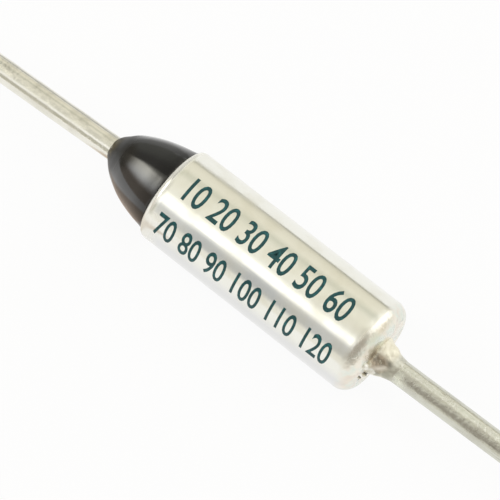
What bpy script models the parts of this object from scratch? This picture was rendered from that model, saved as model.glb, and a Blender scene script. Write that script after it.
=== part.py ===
"""Axial thermal fuse, the one-shot pellet kind, lying on its side.

A drawn can holds a meltable pellet, a main spring and a sprung star contact that
touches the head of the insulated lead. Black casting resin closes the open end.
X runs along the case, from the resin end to the closed end with the welded lead.
Every turned piece is drawn in that frame with its axis on Y = Z = 0 and with X = 0
at the rim of the can. The whole fuse is then set down on Z = 0.
"""

import math

import bmesh
import bpy
from mathutils import Matrix, Vector

MM = 0.001

# Case: a deep-drawn can whose open rim is crimped inward over the bushing
CASE_DIAMETER = 4.0 * MM
CASE_LENGTH = 10.1 * MM
CASE_WALL = 0.25 * MM
CASE_CORNER_RADIUS = 0.65 * MM
CRIMP_RADIUS = 0.25 * MM
CRIMP_BORE_RADIUS = 1.35 * MM

# Leads: tinned copper wire. Each is bent down until its end lies on the table with the
# case, and swings to its own side of Y, so the fuse can't roll
LEAD_DIAMETER = 1.0 * MM
LEAD_END_CHAMFER = 0.06 * MM
LEAD_BEND_RADIUS = 12.0 * MM
ISOLATED_LEAD_LENGTH = 24.5 * MM
ISOLATED_LEAD_SWING = math.radians(-1.7)
ISOLATED_LEAD_BEND_DEPTH = 1.3 * MM
CASE_LEAD_LENGTH = 24.0 * MM
CASE_LEAD_SWING = math.radians(2.3)
CASE_LEAD_OFFSET = 0.06 * MM
CONTACT_HEAD_RADIUS = 0.85 * MM
CONTACT_HEAD_THICKNESS = 0.35 * MM
RIVET_HEAD_RADIUS = 0.95 * MM
RIVET_HEAD_THICKNESS = 0.3 * MM

# Weld round the root of the case lead
WELD_BASE_RADIUS = 0.8 * MM
WELD_HEIGHT = 0.75 * MM
WELD_LIP = 0.04 * MM
WELD_FLANK_CURVE = 0.85
WELD_WAVES = ((1, 0.09, 1.2), (2, 0.07, 0.4), (5, 0.03, 2.0))

# Resin seal: a bullet shape on the rim, with a plug inside the can
SEAL_LENGTH = 2.85 * MM
SEAL_SHOULDER_RADIUS = 1.67 * MM
SEAL_FOOT_FLARE = 0.09 * MM
SEAL_TIP_WALL = 0.03 * MM
SEAL_NOSE_CURVE = 2.2
SEAL_FLANK_CURVE = 1.05
SEAL_FLARE_CURVE = 6.0

# Ceramic bushing
BUSHING_LENGTH = 1.9 * MM
BUSHING_NOSE_RADIUS = 0.95 * MM
BUSHING_NOSE_LENGTH = 0.5 * MM
BUSHING_RECESS_RADIUS = 1.05 * MM
BUSHING_RECESS_DEPTH = 0.6 * MM
BUSHING_CHAMFER = 0.12 * MM

# Star contact: a dished disc slit into fingers that spring against the case wall
STAR_THICKNESS = 0.12 * MM
STAR_FLAT_RADIUS = 1.25 * MM
STAR_FINGER_REACH = 0.75 * MM
STAR_FINGERS = 10
STAR_SLOT_WIDTH = 0.28 * MM

# Springs and discs
DISC_THICKNESS = 0.2 * MM
CONTACT_DISC_RADIUS = 1.0 * MM
MAIN_SPRING_LENGTH = 2.6 * MM
MAIN_SPRING_RADIUS = 0.78 * MM
MAIN_SPRING_WIRE = 0.3 * MM
MAIN_SPRING_TURNS = 5
TRIP_SPRING_WIRE = 0.18 * MM
TRIP_SPRING_TURNS = 3
PELLET_CHAMFER = 0.15 * MM

# Clearances between pieces
SEAT_GAP = 0.02 * MM
BORE_CLEARANCE = 0.02 * MM
SLIDE_CLEARANCE = 0.04 * MM

# Facets round a turned piece, and points along a coil
CASE_FACETS = 40
WIRE_FACETS = 20
ARC_STEPS = 6
BEND_STEPS = 4
DROOP_STEPS = 6
SEAL_STEPS = 12
COIL_STEPS_PER_TURN = 16
COIL_FLAT_TURNS = 1
COIL_BEVEL_STEPS = 2

# Places along X and radii that follow from the sizes above
CASE_RADIUS = CASE_DIAMETER / 2
CASE_UNDERSIDE = CASE_RADIUS * math.cos(math.pi / CASE_FACETS)
CASE_BORE_RADIUS = CASE_RADIUS - CASE_WALL
LEAD_RADIUS = LEAD_DIAMETER / 2
LEAD_BORE_RADIUS = LEAD_RADIUS + BORE_CLEARANCE
SLIDING_RADIUS = CASE_BORE_RADIUS - SLIDE_CLEARANCE

SEAL_BASE_X = -SEAT_GAP
SEAL_TIP_X = SEAL_BASE_X - SEAL_LENGTH
BUSHING_BACK_X = CASE_WALL + SEAT_GAP
BUSHING_SHOULDER_X = BUSHING_BACK_X + BUSHING_LENGTH
BUSHING_NOSE_X = BUSHING_SHOULDER_X + BUSHING_NOSE_LENGTH
CONTACT_HEAD_X = BUSHING_NOSE_X + SEAT_GAP
CONTACT_FACE_X = CONTACT_HEAD_X + CONTACT_HEAD_THICKNESS
STAR_X = CONTACT_FACE_X + SEAT_GAP
CONTACT_DISC_X = STAR_X + STAR_THICKNESS + SEAT_GAP
MAIN_SPRING_X = CONTACT_DISC_X + DISC_THICKNESS + SEAT_GAP
PELLET_DISC_X = MAIN_SPRING_X + MAIN_SPRING_LENGTH + SEAT_GAP
PELLET_X = PELLET_DISC_X + DISC_THICKNESS + SEAT_GAP
RIVET_HEAD_END_X = CASE_LENGTH - CASE_WALL - SEAT_GAP
RIVET_HEAD_X = RIVET_HEAD_END_X - RIVET_HEAD_THICKNESS
PELLET_END_X = RIVET_HEAD_X - SEAT_GAP
WELD_X = CASE_LENGTH + SEAT_GAP


def clear_scene():
    for obj in list(bpy.data.objects):
        bpy.data.objects.remove(obj)


def finish_material(name, colour, roughness, metallic):
    material = bpy.data.materials.new(name)
    material.use_nodes = True
    shader = material.node_tree.nodes["Principled BSDF"]
    shader.inputs["Base Color"].default_value = (*colour, 1.0)
    shader.inputs["Roughness"].default_value = roughness
    shader.inputs["Metallic"].default_value = metallic
    material.diffuse_color = (*colour, 1.0)
    return material


def add_object(name, data, material, fuse):
    obj = bpy.data.objects.new(name, data)
    obj.data.materials.append(material)
    obj.parent = fuse
    bpy.context.scene.collection.objects.link(obj)
    return obj


def arc(centre, radius, start, end, steps=ARC_STEPS):
    """Points (x, r) round an arc, from one angle to another in degrees."""
    points = []
    for step in range(steps + 1):
        angle = math.radians(start + (end - start) * step / steps)
        x = centre[0] + radius * math.cos(angle)
        r = centre[1] + radius * math.sin(angle)
        points.append((x, r))
    return points


def turned_mesh(name, profile, facets):
    """Turns a profile of (x, r) points about X. A profile that leaves the axis at
    both ends is closed on itself and makes a ring."""
    shape = bmesh.new()
    verts = [shape.verts.new((x, 0.0, r)) for x, r in profile]
    edges = [shape.edges.new(pair) for pair in zip(verts, verts[1:])]
    if profile[0][1] > 0:
        edges.append(shape.edges.new((verts[-1], verts[0])))
    half_facet = Matrix.Rotation(math.pi / facets, 3, "X")
    bmesh.ops.rotate(shape, cent=(0, 0, 0), matrix=half_facet, verts=verts)
    bmesh.ops.spin(
        shape, geom=verts + edges, cent=(0, 0, 0), axis=(1, 0, 0),
        angle=math.tau, steps=facets, use_merge=True,
    )
    bmesh.ops.remove_doubles(shape, verts=shape.verts, dist=1e-7)
    bmesh.ops.recalc_face_normals(shape, faces=shape.faces)
    mesh = bpy.data.meshes.new(name)
    shape.to_mesh(mesh)
    shape.free()
    return mesh


def smooth(mesh):
    mesh.shade_smooth()
    mesh.set_sharp_from_angle(angle=math.radians(35))


def turned(name, profile, material, fuse, facets=CASE_FACETS):
    mesh = turned_mesh(name, profile, facets)
    smooth(mesh)
    return add_object(name, mesh, material, fuse)


def bend_offset(angle, length):
    """How far aside a wire bent by this angle ends, this length past its bend's start."""
    straight = length - LEAD_BEND_RADIUS * angle
    return LEAD_BEND_RADIUS * (1 - math.cos(angle)) + straight * math.sin(angle)


def droop_to_table(length, swing):
    """The droop that lets a lead which swings to the side end on the table."""
    drop = max(CASE_UNDERSIDE - LEAD_RADIUS, 0.1 * LEAD_RADIUS)
    droop = drop / length
    for _ in range(DROOP_STEPS):
        angle = math.hypot(droop, swing)
        droop = drop * angle / bend_offset(angle, length)
    return droop


def lead_bend(bend_x, end_x, swing):
    """A lead's bend: where it starts, which way the lead goes and how it turns."""
    droop = droop_to_table(abs(end_x - bend_x), swing)
    towards = math.copysign(1.0, end_x - bend_x)
    return bend_x, towards, Vector((0.0, swing, -droop))


def isolated_lead_bend():
    bend_x = SEAL_TIP_X + ISOLATED_LEAD_BEND_DEPTH
    return lead_bend(bend_x, SEAL_TIP_X - ISOLATED_LEAD_LENGTH, ISOLATED_LEAD_SWING)


def case_lead_bend():
    bend_x = WELD_X + WELD_HEIGHT / 2
    return lead_bend(bend_x, CASE_LENGTH + CASE_LEAD_LENGTH, CASE_LEAD_SWING)


def apply_bend(mesh, bend):
    """Bends what lies past the start of the bend, about the bend radius."""
    start_x, towards, turned_by = bend
    angle = turned_by.length
    side = turned_by.normalized()
    for vertex in mesh.vertices:
        past = towards * (vertex.co.x - start_x)
        if past <= 0:
            continue
        turn = min(past / LEAD_BEND_RADIUS, angle)
        straight = past - LEAD_BEND_RADIUS * turn
        across = vertex.co.dot(side)
        along = LEAD_BEND_RADIUS * math.sin(turn) + straight * math.cos(turn)
        aside = bend_offset(turn, past)
        vertex.co += side * (aside + across * math.cos(turn) - across)
        vertex.co.x = start_x + towards * (along - across * math.sin(turn))


def stations(first, last, count):
    return [first + (last - first) * step / count for step in range(count + 1)]


def bend_stations(bend):
    """Where rings are needed along a wire so that its bend comes out round."""
    start_x, towards, turned_by = bend
    end_x = start_x + towards * LEAD_BEND_RADIUS * turned_by.length
    return stations(start_x, end_x, BEND_STEPS)


def coil(name, start_x, length, radius, wire, turns, material, fuse):
    """A compression spring along X whose first and last turns lie almost flat."""
    first = start_x + wire / 2
    travel = length - wire
    flat_pitch = wire + SEAT_GAP
    flat_turns = 2 * COIL_FLAT_TURNS
    open_turns = turns - flat_turns
    open_pitch = (travel - flat_turns * flat_pitch) / open_turns
    points = []
    for step in range(turns * COIL_STEPS_PER_TURN + 1):
        turn = step / COIL_STEPS_PER_TURN
        open_part = min(max(turn - COIL_FLAT_TURNS, 0), open_turns)
        x = first + open_pitch * open_part + flat_pitch * (turn - open_part)
        angle = math.tau * turn
        points.append((x, radius * math.cos(angle), radius * math.sin(angle)))
    curve = bpy.data.curves.new(name, "CURVE")
    curve.dimensions = "3D"
    curve.bevel_depth = wire / 2
    curve.bevel_resolution = COIL_BEVEL_STEPS
    curve.use_fill_caps = True
    spline = curve.splines.new("POLY")
    spline.points.add(len(points) - 1)
    for target, point in zip(spline.points, points):
        target.co = (*point, 1.0)
    return add_object(name, curve, material, fuse)


def make_case(material, fuse):
    corner = (CASE_LENGTH - CASE_CORNER_RADIUS, CASE_RADIUS - CASE_CORNER_RADIUS)
    crimp = (CRIMP_RADIUS, CASE_RADIUS - CRIMP_RADIUS)
    inner_corner_radius = max(CASE_CORNER_RADIUS - CASE_WALL, 0.05 * MM)
    inner_corner = (
        CASE_LENGTH - CASE_WALL - inner_corner_radius,
        CASE_BORE_RADIUS - inner_corner_radius,
    )
    lead_hole_radius = LEAD_BORE_RADIUS + CASE_LEAD_OFFSET
    profile = [(CASE_LENGTH, lead_hole_radius)]
    profile += arc(corner, CASE_CORNER_RADIUS, 0, 90)
    profile += arc(crimp, CRIMP_RADIUS, 90, 180)
    profile += [(0.0, CRIMP_BORE_RADIUS), (CASE_WALL, CRIMP_BORE_RADIUS)]
    profile += [(CASE_WALL, CASE_BORE_RADIUS)]
    profile += arc(inner_corner, inner_corner_radius, 90, 0, ARC_STEPS - 2)
    profile += [(CASE_LENGTH - CASE_WALL, lead_hole_radius)]
    return turned("case", profile, material, fuse)


def lead_end(end_x, towards):
    """The chamfered cut end of a wire, from its side to its axis."""
    chamfer_x = end_x - towards * LEAD_END_CHAMFER
    return [
        (chamfer_x, LEAD_RADIUS),
        (end_x, LEAD_RADIUS - LEAD_END_CHAMFER),
        (end_x, 0.0),
    ]


def make_isolated_lead(material, fuse):
    bend = isolated_lead_bend()
    profile = [(CONTACT_FACE_X, 0.0)]
    profile += [(CONTACT_FACE_X, CONTACT_HEAD_RADIUS - LEAD_END_CHAMFER)]
    profile += [(CONTACT_FACE_X - LEAD_END_CHAMFER, CONTACT_HEAD_RADIUS)]
    profile += [(CONTACT_HEAD_X, CONTACT_HEAD_RADIUS), (CONTACT_HEAD_X, LEAD_RADIUS)]
    profile += [(x, LEAD_RADIUS) for x in bend_stations(bend)]
    profile += lead_end(SEAL_TIP_X - ISOLATED_LEAD_LENGTH, -1)
    lead = turned("isolated_lead", profile, material, fuse, WIRE_FACETS)
    apply_bend(lead.data, bend)
    return lead


def make_case_lead(material, fuse):
    bend = case_lead_bend()
    profile = [(RIVET_HEAD_X, 0.0), (RIVET_HEAD_X, RIVET_HEAD_RADIUS)]
    profile += [(RIVET_HEAD_END_X, RIVET_HEAD_RADIUS), (RIVET_HEAD_END_X, LEAD_RADIUS)]
    profile += [(x, LEAD_RADIUS) for x in bend_stations(bend)]
    profile += lead_end(CASE_LENGTH + CASE_LEAD_LENGTH, 1)
    lead = turned("case_lead", profile, material, fuse, WIRE_FACETS)
    apply_bend(lead.data, bend)
    lead.location.y = -CASE_LEAD_OFFSET
    return lead


def make_lead_weld(material, fuse):
    """A cone that runs up onto the lead, thicker on some sides than on others."""
    reach = WELD_BASE_RADIUS - LEAD_BORE_RADIUS
    profile = [(WELD_X, LEAD_BORE_RADIUS), (WELD_X, WELD_BASE_RADIUS)]
    for height in stations(WELD_LIP, WELD_HEIGHT, ARC_STEPS):
        share = (height - WELD_LIP) / (WELD_HEIGHT - WELD_LIP)
        flank = (1 - share) ** WELD_FLANK_CURVE
        r = LEAD_BORE_RADIUS + WELD_LIP + (reach - WELD_LIP) * flank
        profile.append((WELD_X + height, r))
    profile += [(WELD_X + WELD_HEIGHT, LEAD_BORE_RADIUS)]
    weld = turned("lead_weld", profile, material, fuse, WIRE_FACETS)
    for vertex in weld.data.vertices:
        radius = math.hypot(vertex.co.y, vertex.co.z)
        thickness = radius - LEAD_BORE_RADIUS
        angle = math.atan2(vertex.co.y, vertex.co.z)
        swell = sum(size * math.cos(count * angle + phase) for count, size, phase in WELD_WAVES)
        stretch = 1 + swell * thickness / radius
        vertex.co.y *= stretch
        vertex.co.z *= stretch
    apply_bend(weld.data, case_lead_bend())
    weld.location.y = -CASE_LEAD_OFFSET
    return weld


def seal_radius(share):
    """Radius of the resin at a share of its length from the tip."""
    tip_radius = LEAD_BORE_RADIUS + SEAL_TIP_WALL
    bulge = (1 - (1 - share) ** SEAL_NOSE_CURVE) ** SEAL_FLANK_CURVE
    flare = SEAL_FOOT_FLARE * share ** SEAL_FLARE_CURVE
    return tip_radius + (SEAL_SHOULDER_RADIUS - tip_radius) * bulge + flare


def make_epoxy_seal(material, fuse):
    recess_end_x = BUSHING_BACK_X + BUSHING_RECESS_DEPTH - SEAT_GAP
    recess_x = BUSHING_BACK_X - SEAT_GAP
    neck_radius = CRIMP_BORE_RADIUS - BORE_CLEARANCE
    plug_radius = BUSHING_RECESS_RADIUS - BORE_CLEARANCE
    bend = isolated_lead_bend()
    outside = []
    for share in stations(0.0, 1.0, SEAL_STEPS):
        # Stations crowd towards the tip, where the nose turns fastest.
        eased = share ** 1.5
        outside.append((SEAL_TIP_X + SEAL_LENGTH * eased, seal_radius(eased)))
    plug = [(SEAL_BASE_X, neck_radius), (recess_x, neck_radius), (recess_x, plug_radius)]
    plug += [(recess_end_x, plug_radius), (recess_end_x, LEAD_BORE_RADIUS)]
    bore = [(x, LEAD_BORE_RADIUS) for x in bend_stations(bend)]
    bore += [(SEAL_TIP_X, LEAD_BORE_RADIUS)]
    seal = turned("epoxy_seal", outside + plug + bore, material, fuse)
    apply_bend(seal.data, bend)
    return seal


def make_ceramic_bushing(material, fuse):
    recess_x = BUSHING_BACK_X + BUSHING_RECESS_DEPTH
    profile = [(recess_x, LEAD_BORE_RADIUS), (recess_x, BUSHING_RECESS_RADIUS)]
    profile += [(BUSHING_BACK_X, BUSHING_RECESS_RADIUS)]
    profile += [(BUSHING_BACK_X, SLIDING_RADIUS - BUSHING_CHAMFER)]
    profile += [(BUSHING_BACK_X + BUSHING_CHAMFER, SLIDING_RADIUS)]
    profile += [(BUSHING_SHOULDER_X - BUSHING_CHAMFER, SLIDING_RADIUS)]
    profile += [(BUSHING_SHOULDER_X, SLIDING_RADIUS - BUSHING_CHAMFER)]
    profile += [(BUSHING_SHOULDER_X, BUSHING_NOSE_RADIUS)]
    profile += [(BUSHING_NOSE_X, BUSHING_NOSE_RADIUS), (BUSHING_NOSE_X, LEAD_BORE_RADIUS)]
    return turned("ceramic_bushing", profile, material, fuse)


def make_trip_spring(material, fuse):
    radius = BUSHING_NOSE_RADIUS + SLIDE_CLEARANCE + TRIP_SPRING_WIRE / 2
    start_x = BUSHING_SHOULDER_X + SEAT_GAP
    length = STAR_X - SEAT_GAP - start_x
    return coil(
        "trip_spring", start_x, length, radius, TRIP_SPRING_WIRE,
        TRIP_SPRING_TURNS, material, fuse,
    )


def star_slot_cutter(fuse):
    """Radial bars, one for each slot between two fingers."""
    shape = bmesh.new()
    inner = STAR_FLAT_RADIUS
    outer = CASE_RADIUS
    depth = 2 * (STAR_FINGER_REACH + STAR_THICKNESS)
    for slot in range(STAR_FINGERS):
        bar = bmesh.ops.create_cube(shape, size=1.0)["verts"]
        bmesh.ops.scale(shape, vec=(depth, STAR_SLOT_WIDTH, outer - inner), verts=bar)
        bmesh.ops.translate(shape, vec=(STAR_X + depth / 4, 0, (inner + outer) / 2), verts=bar)
        turn = Matrix.Rotation(math.tau * slot / STAR_FINGERS, 3, "X")
        bmesh.ops.rotate(shape, cent=(0, 0, 0), matrix=turn, verts=bar)
    mesh = bpy.data.meshes.new("star_slot_cutter")
    shape.to_mesh(mesh)
    shape.free()
    cutter = bpy.data.objects.new("star_slot_cutter", mesh)
    cutter.parent = fuse
    cutter.hide_render = True
    cutter.display_type = "WIRE"
    bpy.context.scene.collection.objects.link(cutter)
    return cutter


def make_star_contact(material, fuse):
    rise = SLIDING_RADIUS - STAR_FLAT_RADIUS
    slope = math.atan2(rise, STAR_FINGER_REACH)
    aside = STAR_THICKNESS * math.sin(slope)
    inward = STAR_THICKNESS * math.cos(slope)
    front_x = STAR_X + STAR_THICKNESS
    root_radius = STAR_FLAT_RADIUS - inward + (STAR_THICKNESS - aside) * math.tan(slope)
    tip_x = STAR_X + STAR_FINGER_REACH
    profile = [(STAR_X, 0.0), (STAR_X, STAR_FLAT_RADIUS), (tip_x, SLIDING_RADIUS)]
    profile += [(tip_x + aside, SLIDING_RADIUS - inward)]
    profile += [(front_x, root_radius), (front_x, 0.0)]
    star = turned("star_contact", profile, material, fuse)
    slots = star.modifiers.new("finger slots", "BOOLEAN")
    slots.operation = "DIFFERENCE"
    slots.solver = "EXACT"
    slots.object = star_slot_cutter(fuse)
    return star


def make_disc(name, start_x, radius, material, fuse):
    end_x = start_x + DISC_THICKNESS
    edge = DISC_THICKNESS / 5
    profile = [(start_x, 0.0), (start_x, radius - edge), (start_x + edge, radius)]
    profile += [(end_x - edge, radius), (end_x, radius - edge), (end_x, 0.0)]
    return turned(name, profile, material, fuse)


def make_main_spring(material, fuse):
    return coil(
        "main_spring", MAIN_SPRING_X, MAIN_SPRING_LENGTH, MAIN_SPRING_RADIUS,
        MAIN_SPRING_WIRE, MAIN_SPRING_TURNS, material, fuse,
    )


def make_thermal_pellet(material, fuse):
    """Fills what the stack of springs and discs leaves between them and the rivet."""
    profile = [(PELLET_X, 0.0), (PELLET_X, SLIDING_RADIUS - PELLET_CHAMFER)]
    profile += [(PELLET_X + PELLET_CHAMFER, SLIDING_RADIUS)]
    profile += [(PELLET_END_X - PELLET_CHAMFER, SLIDING_RADIUS)]
    profile += [(PELLET_END_X, SLIDING_RADIUS - PELLET_CHAMFER), (PELLET_END_X, 0.0)]
    return turned("thermal_pellet", profile, material, fuse)


def set_down(fuse, pieces):
    """Puts the middle of the fuse's box over the origin, with the case on Z = 0."""
    bpy.context.view_layer.update()
    corners = [piece.matrix_world @ Vector(c) for piece in pieces for c in piece.bound_box]
    low = [min(corner[axis] for corner in corners) for axis in range(3)]
    high = [max(corner[axis] for corner in corners) for axis in range(3)]
    fuse.location = (-(low[0] + high[0]) / 2, -(low[1] + high[1]) / 2, -low[2])


def make_fuse():
    silver = finish_material("silver_plate", (0.86, 0.84, 0.78), 0.25, 1.0)
    tin = finish_material("tinned_copper", (0.74, 0.71, 0.64), 0.35, 1.0)
    solder = finish_material("weld_metal", (0.62, 0.57, 0.48), 0.4, 1.0)
    resin = finish_material("black_resin", (0.035, 0.032, 0.030), 0.25, 0.0)
    ceramic = finish_material("white_ceramic", (0.86, 0.84, 0.78), 0.6, 0.0)
    pellet = finish_material("pellet_compound", (0.75, 0.32, 0.22), 0.8, 0.0)
    spring_steel = finish_material("spring_steel", (0.55, 0.55, 0.56), 0.3, 1.0)
    brass = finish_material("brass", (0.78, 0.62, 0.32), 0.35, 1.0)
    fuse = bpy.data.objects.new("thermal_fuse", None)
    bpy.context.scene.collection.objects.link(fuse)
    pieces = [
        make_case(silver, fuse),
        make_case_lead(tin, fuse),
        make_lead_weld(solder, fuse),
        make_thermal_pellet(pellet, fuse),
        make_disc("pellet_disc", PELLET_DISC_X, SLIDING_RADIUS, brass, fuse),
        make_main_spring(spring_steel, fuse),
        make_disc("contact_disc", CONTACT_DISC_X, CONTACT_DISC_RADIUS, brass, fuse),
        make_star_contact(silver, fuse),
        make_trip_spring(spring_steel, fuse),
        make_ceramic_bushing(ceramic, fuse),
        make_isolated_lead(tin, fuse),
        make_epoxy_seal(resin, fuse),
    ]
    set_down(fuse, pieces)


clear_scene()
make_fuse()
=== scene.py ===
"""Looks of the axial thermal fuse: silvered can, black resin nose, weld and two wires.

Pieces are modelled in millimetres on the fuse's own axis, X, with X = 0 at the open
rim of the can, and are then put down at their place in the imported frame.
"""

import math

import bpy
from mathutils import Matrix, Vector


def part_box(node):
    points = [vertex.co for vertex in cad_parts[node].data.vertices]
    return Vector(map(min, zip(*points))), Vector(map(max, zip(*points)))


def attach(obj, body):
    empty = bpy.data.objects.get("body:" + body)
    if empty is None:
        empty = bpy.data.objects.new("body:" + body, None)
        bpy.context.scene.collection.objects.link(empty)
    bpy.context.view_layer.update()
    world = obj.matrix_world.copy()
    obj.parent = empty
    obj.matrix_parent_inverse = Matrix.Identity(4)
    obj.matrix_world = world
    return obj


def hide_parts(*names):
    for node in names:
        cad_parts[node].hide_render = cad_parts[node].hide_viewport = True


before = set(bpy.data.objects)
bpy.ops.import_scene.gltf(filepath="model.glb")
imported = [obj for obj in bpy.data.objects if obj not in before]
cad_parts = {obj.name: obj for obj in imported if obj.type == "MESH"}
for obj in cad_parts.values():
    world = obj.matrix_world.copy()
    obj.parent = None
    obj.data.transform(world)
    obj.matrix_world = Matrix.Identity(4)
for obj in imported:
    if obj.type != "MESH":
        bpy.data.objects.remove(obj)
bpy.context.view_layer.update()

MM = 0.001
QUARTER_TURN = math.pi / 2

# Can
CAN_RADIUS = 1.985
CAN_LENGTH = 10.1
CAN_WALL = 0.25
CAN_CORNER = 0.65
CRIMP_CORNER = 0.25
CRIMP_BORE = 1.35
LEAD_HOLE = 0.58
CAN_SIDES = 128
CAN_RINGS = 60
CORNER_STEPS = 14
CRIMP_STEPS = 8
END_FACE_RINGS = 6
TOUCHING = 1e-3

# Resin nose, from its tip to its foot on the rim, and its plug inside the rim, which is
# given as (x, radius)
NOSE_TIP_X = -2.73
NOSE_LENGTH = 2.71
NOSE_TIP_RADIUS = 0.50
NOSE_SHOULDER_RADIUS = 1.68
NOSE_FLARE = 0.105
NOSE_BORE = 0.49
NOSE_LIP = 0.02
NOSE_LIP_RADIUS = 0.495
NOSE_SIDES = 96
NOSE_STEPS = 26
PLUG_PROFILE = ((0.0, 1.70), (0.0, 1.33), (0.25, 1.33), (0.25, 1.03), (0.85, 1.03))

# Wires. A head is its first X, last X and radius. A cut end is given ring by ring: how
# far from the end, and how much thinner
WIRE_RADIUS = 0.484
WIRE_SIDES = 40
WIRE_RINGS = 90
WIRE_RING_SPREAD = 1.3
WIRE_CUT_END = ((0.05, 0.004), (0.015, 0.025), (0.0, 0.07))
WIRE_BEND_RADIUS = 12.0
CONTACT_HEAD = (2.80, 3.13, 0.845)
RIVET_HEAD = (9.54, 9.82, 0.945)
HEAD_NECK = 0.005
ISOLATED_DROOP = math.radians(3.37)
ISOLATED_SWING = math.radians(-1.7)
ISOLATED_BEND_X = -1.57
ISOLATED_END_X = -27.37
CASE_DROOP = math.radians(3.70)
CASE_SWING = math.radians(2.3)
CASE_BEND_X = CAN_LENGTH + 0.395
CASE_END_X = CAN_LENGTH + 24.0
CASE_WIRE_OFFSET = 0.06

# Weld. The flank is given as (height, radius) over the closed end. A lump, the crater
# and a bead are each given as (height, Y, Z), radius and stretch
WELD_X = CAN_LENGTH
WELD_ROOT = (WELD_X - 0.12, WELD_X + 0.02, 0.82)
WELD_SIDES = 64
WELD_VOXEL = 0.022
WELD_FLANK = (
    (0.10, 0.775), (0.20, 0.725), (0.30, 0.685), (0.40, 0.645), (0.50, 0.60), (0.60, 0.57),
    (0.70, 0.54), (0.80, 0.515), (0.88, 0.498), (0.96, 0.488), (1.06, 0.468),
)
WELD_LUMPS = (
    ((0.27, 0.22, 0.26), 0.41, (1.2, 1, 1)),
    ((0.45, 0.14, 0.20), 0.37, (1.3, 1, 1)),
    ((0.30, -0.60, 0.27), 0.09, (2.6, 0.8, 0.9)),
    ((0.04, -0.55, 0.62), 0.13, (1, 1.3, 1)),
    ((0.02, 0.10, 0.80), 0.12, (1, 1.5, 1)),
    ((0.05, 0.35, -0.60), 0.20, (1, 1, 1)),
    ((0.12, -0.30, -0.62), 0.17, (1, 1, 1)),
)
WELD_CRATER = ((0.27, -0.36, 0.77), 0.30, (1.35, 0.85, 0.9))
WELD_BEADS = (
    ((0.14, -0.72, 0.16), 0.10, (1.8, 1, 1)),
    ((0.03, -0.90, 0.95), 0.13, (1, 1, 1)),
    ((0.03, -0.88, -0.10), 0.08, (1, 1, 1)),
    ((0.03, -1.20, 0.30), 0.07, (1, 1, 1)),
    ((0.34, 0.02, 0.64), 0.07, (1.4, 1, 1)),
)

# Printed rows: name, text, first and last X, and the baseline and the height of the
# numbers in degrees round the can, counted from straight up towards the front, -Y
PRINT_ROWS = (
    ("upper_numbers", "10 20 30 40 50 60", 0.92, 8.60, 15.4, 31.5),
    ("lower_numbers", "70 80 90 100 110 120", 0.62, 8.92, 69.6, 31.0),
)
INK_THICKNESS = 0.005
INK_LIFT = 0.0015
INK_SPREAD = 0.012
INK_STRIP = 0.05

# Single scratches on the can, as (x, distance round the can) from end to end
CAN_SCRATCHES = (
    ((8.80, 0.15), (9.66, 1.62)),
    ((7.60, -0.66), (8.75, -0.52)),
    ((8.15, -0.80), (9.30, -0.60)),
    ((3.10, 0.42), (5.40, 0.55)),
    ((6.20, 1.30), (7.10, 1.12)),
    ((0.70, -0.35), (1.60, -0.75)),
)
SCRATCH_HALF_WIDTH = 0.03

# View: fitted to the outline of the case, the resin and the wires
VIEW_AZIMUTH = 39.65
VIEW_ELEVATION = 70.2
VIEW_DISTANCE = 98.7
VIEW_RIGHT = 4.810
VIEW_DOWN = 3.877
VIEW_LENS = 191.7

# Floor: its width in metres, and how much of its colour is its own glow
FLOOR_SIZE = 3.0
FLOOR_GLOW_SHARE = 0.92


# Modelling helpers


def clamped(share):
    return min(max(share, 0), 1)


def deselect_all():
    for piece in list(bpy.context.selected_objects):
        piece.select_set(False)


def make_active(piece):
    if bpy.context.mode != "OBJECT":
        bpy.ops.object.mode_set(mode="OBJECT")
    deselect_all()
    bpy.context.view_layer.objects.active = piece
    piece.select_set(True)


def edit(piece, kind, wanted):
    """Opens the piece in edit mode with its faces, edges or vertices that are wanted
    selected. An edge is asked for by the places of its two ends."""
    make_active(piece)
    bpy.ops.object.mode_set(mode="EDIT")
    bpy.ops.mesh.select_mode(type=kind)
    bpy.ops.mesh.select_all(action="DESELECT")
    bpy.ops.object.mode_set(mode="OBJECT")
    mesh = piece.data
    if kind == "FACE":
        for face in mesh.polygons:
            face.select = wanted(face)
    elif kind == "EDGE":
        for edge in mesh.edges:
            ends = [mesh.vertices[index].co for index in edge.vertices]
            edge.select = wanted(*ends)
    else:
        for vertex in mesh.vertices:
            vertex.select = wanted(vertex.co)
    bpy.ops.object.mode_set(mode="EDIT")


def everything(_):
    return True


def leave_edit():
    bpy.ops.object.mode_set(mode="OBJECT")


def round_bar(name, start_x, end_x, radius, sides):
    deselect_all()
    bpy.ops.mesh.primitive_cylinder_add(
        vertices=sides,
        radius=radius,
        depth=end_x - start_x,
        location=((start_x + end_x) / 2, 0, 0),
        rotation=(0, QUARTER_TURN, 0),
    )
    bar = bpy.context.object
    bar.name = name
    bar.data.name = name
    bpy.ops.object.transform_apply(location=True, rotation=True, scale=True)
    return bar


def is_round(face):
    """Tells the round caps of a bar from the faces round it, which have four corners."""
    return len(face.vertices) > 8


def end_cap(towards):
    return lambda face: face.normal.x * towards > 0.9 and is_round(face)


def turn_on(piece, towards, profile):
    """Draws out the end cap that faces towards, through each (x, radius) in turn."""
    is_cap = end_cap(towards)
    cap = next(face for face in piece.data.polygons if is_cap(face))
    rim = piece.data.vertices[cap.vertices[0]].co.copy()
    x, radius = rim.x, math.hypot(rim.y, rim.z)
    edit(piece, "FACE", is_cap)
    for next_x, next_radius in profile:
        bpy.ops.mesh.extrude_region_move(
            TRANSFORM_OT_translate={"value": (next_x - x, 0, 0)}
        )
        factor = next_radius / radius
        bpy.ops.transform.resize(value=(1, factor, factor), center_override=(0, 0, 0))
        x, radius = next_x, next_radius
    leave_edit()


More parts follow.
